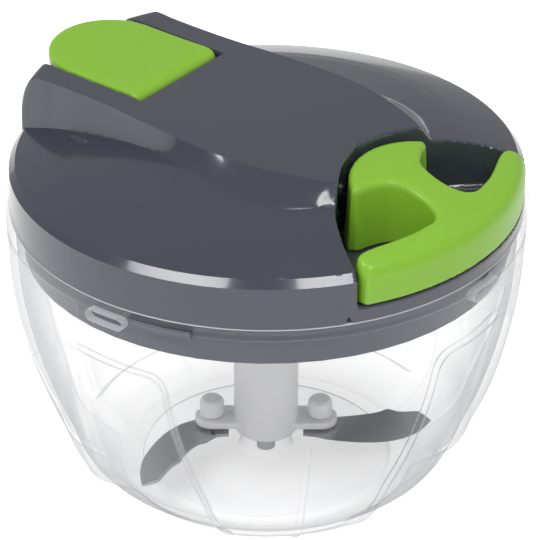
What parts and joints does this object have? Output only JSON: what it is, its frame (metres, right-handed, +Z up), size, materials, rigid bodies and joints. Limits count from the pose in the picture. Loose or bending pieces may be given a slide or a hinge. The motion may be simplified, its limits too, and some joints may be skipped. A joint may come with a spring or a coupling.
{
  "type": "pull-cord food chopper",
  "caption": "Pull-cord food chopper: clear fluted bowl, domed twist-lock lid with a raised bridge, rocker release button, anchor-shaped pull handle, and a column with curved blades.",
  "frame": {"origin": "middle of the bowl's foot, on the surface it stands on", "axes": "+Z up along the rotor's axis, +X the way the handle is pulled"},
  "size_m": [0.13, 0.13, 0.104],
  "materials": {
    "clear_plastic": "clear moulded plastic, glossy",
    "lid_plastic": "dark grey, semi-gloss",
    "lid_base_plastic": "grey, satin",
    "green_plastic": "bright green, semi-gloss",
    "white_plastic": "white, satin",
    "frosted_plastic": "milky translucent, satin",
    "black_plastic": "black, satin",
    "silicone": "pale grey silicone, matt",
    "steel": "bright steel",
    "blade_steel": "polished stainless steel",
    "cord": "braided white cord, matt"
  },
  "bodies": {
    "bowl": {"bowl": "clear_plastic", "pivot_pin": "steel"},
    "seal": {"seal_ring": "silicone"},
    "lid": {"lid_top": "lid_plastic", "lid_base": "lid_base_plastic", "shaft_seal": "silicone", "drive_bushing": "white_plastic", "reel_axle": "steel", "spring_housing": "black_plastic", "recoil_spring": "steel", "spring_cover": "black_plastic", "cord_eyelet": "steel", "button_pin": "steel", "button_spring": "steel", "lid_screw_1": "steel", "lid_screw_2": "steel", "lid_screw_3": "steel", "lid_screw_4": "steel", "housing_screw_1": "steel", "housing_screw_2": "steel", "housing_screw_3": "steel"},
    "reel": {"cord_reel": "white_plastic", "cord_winding": "cord", "drive_hub": "white_plastic", "drive_pawl_1": "black_plastic", "drive_pawl_2": "black_plastic"},
    "handle": {"pull_handle": "green_plastic", "handle_plug": "green_plastic", "cord_knot": "cord", "cord_lead": "cord"},
    "button": {"release_button": "green_plastic"},
    "catch": {"lock_catch": "black_plastic"},
    "rotor": {"blade_column": "frosted_plastic", "blade_1": "blade_steel", "blade_2": "blade_steel", "blade_stud_1": "white_plastic", "blade_stud_2": "white_plastic"}
  },
  "joints": [
    {"name": "lid_lift", "type": "slide", "parent": "bowl", "child": "seal", "axis": [0, 0, 1], "range_m": [0, 0.08]},
    {"name": "lid_turn", "type": "hinge", "parent": "seal", "child": "lid", "pos_m": [0, 0, 0.0755], "axis": [0, 0, 1], "range_deg": [-12, 0]},
    {"name": "handle_pull", "type": "slide", "parent": "lid", "child": "handle", "axis": [1, 0, 0], "range_m": [0, 0.3], "stiffness_N_per_m": 12, "springref_m": -0.3, "deforming": ["cord_lead"]},
    {"name": "reel_spin", "type": "hinge", "parent": "lid", "child": "reel", "pos_m": [0, 0, 0.0847], "axis": [0, 0, -1], "range_deg": [0, 862]},
    {"name": "blade_spin", "type": "hinge", "parent": "bowl", "child": "rotor", "pos_m": [0, 0, 0.0079], "axis": [0, 0, -1], "range_deg": [0, 862]},
    {"name": "button_press", "type": "hinge", "parent": "lid", "child": "button", "pos_m": [-0.03099, 0, 0.0991], "axis": [0, -1, 0], "range_deg": [0, 4], "stiffness_Nm_per_rad": 1.5, "springref_deg": -2.86, "deforming": ["button_spring"]},
    {"name": "catch_slide", "type": "slide", "parent": "lid", "child": "catch", "axis": [0.9781, 0.2079, 0], "range_m": [0, 0.0013]}
  ],
  "couplings": [
    {"joint": "reel_spin", "follows": "handle_pull", "rad_per_m": 50},
    {"joint": "blade_spin", "follows": "handle_pull", "rad_per_m": 50},
    {"joint": "catch_slide", "follows": "button_press", "m_per_rad": 0.0165}
  ]
}
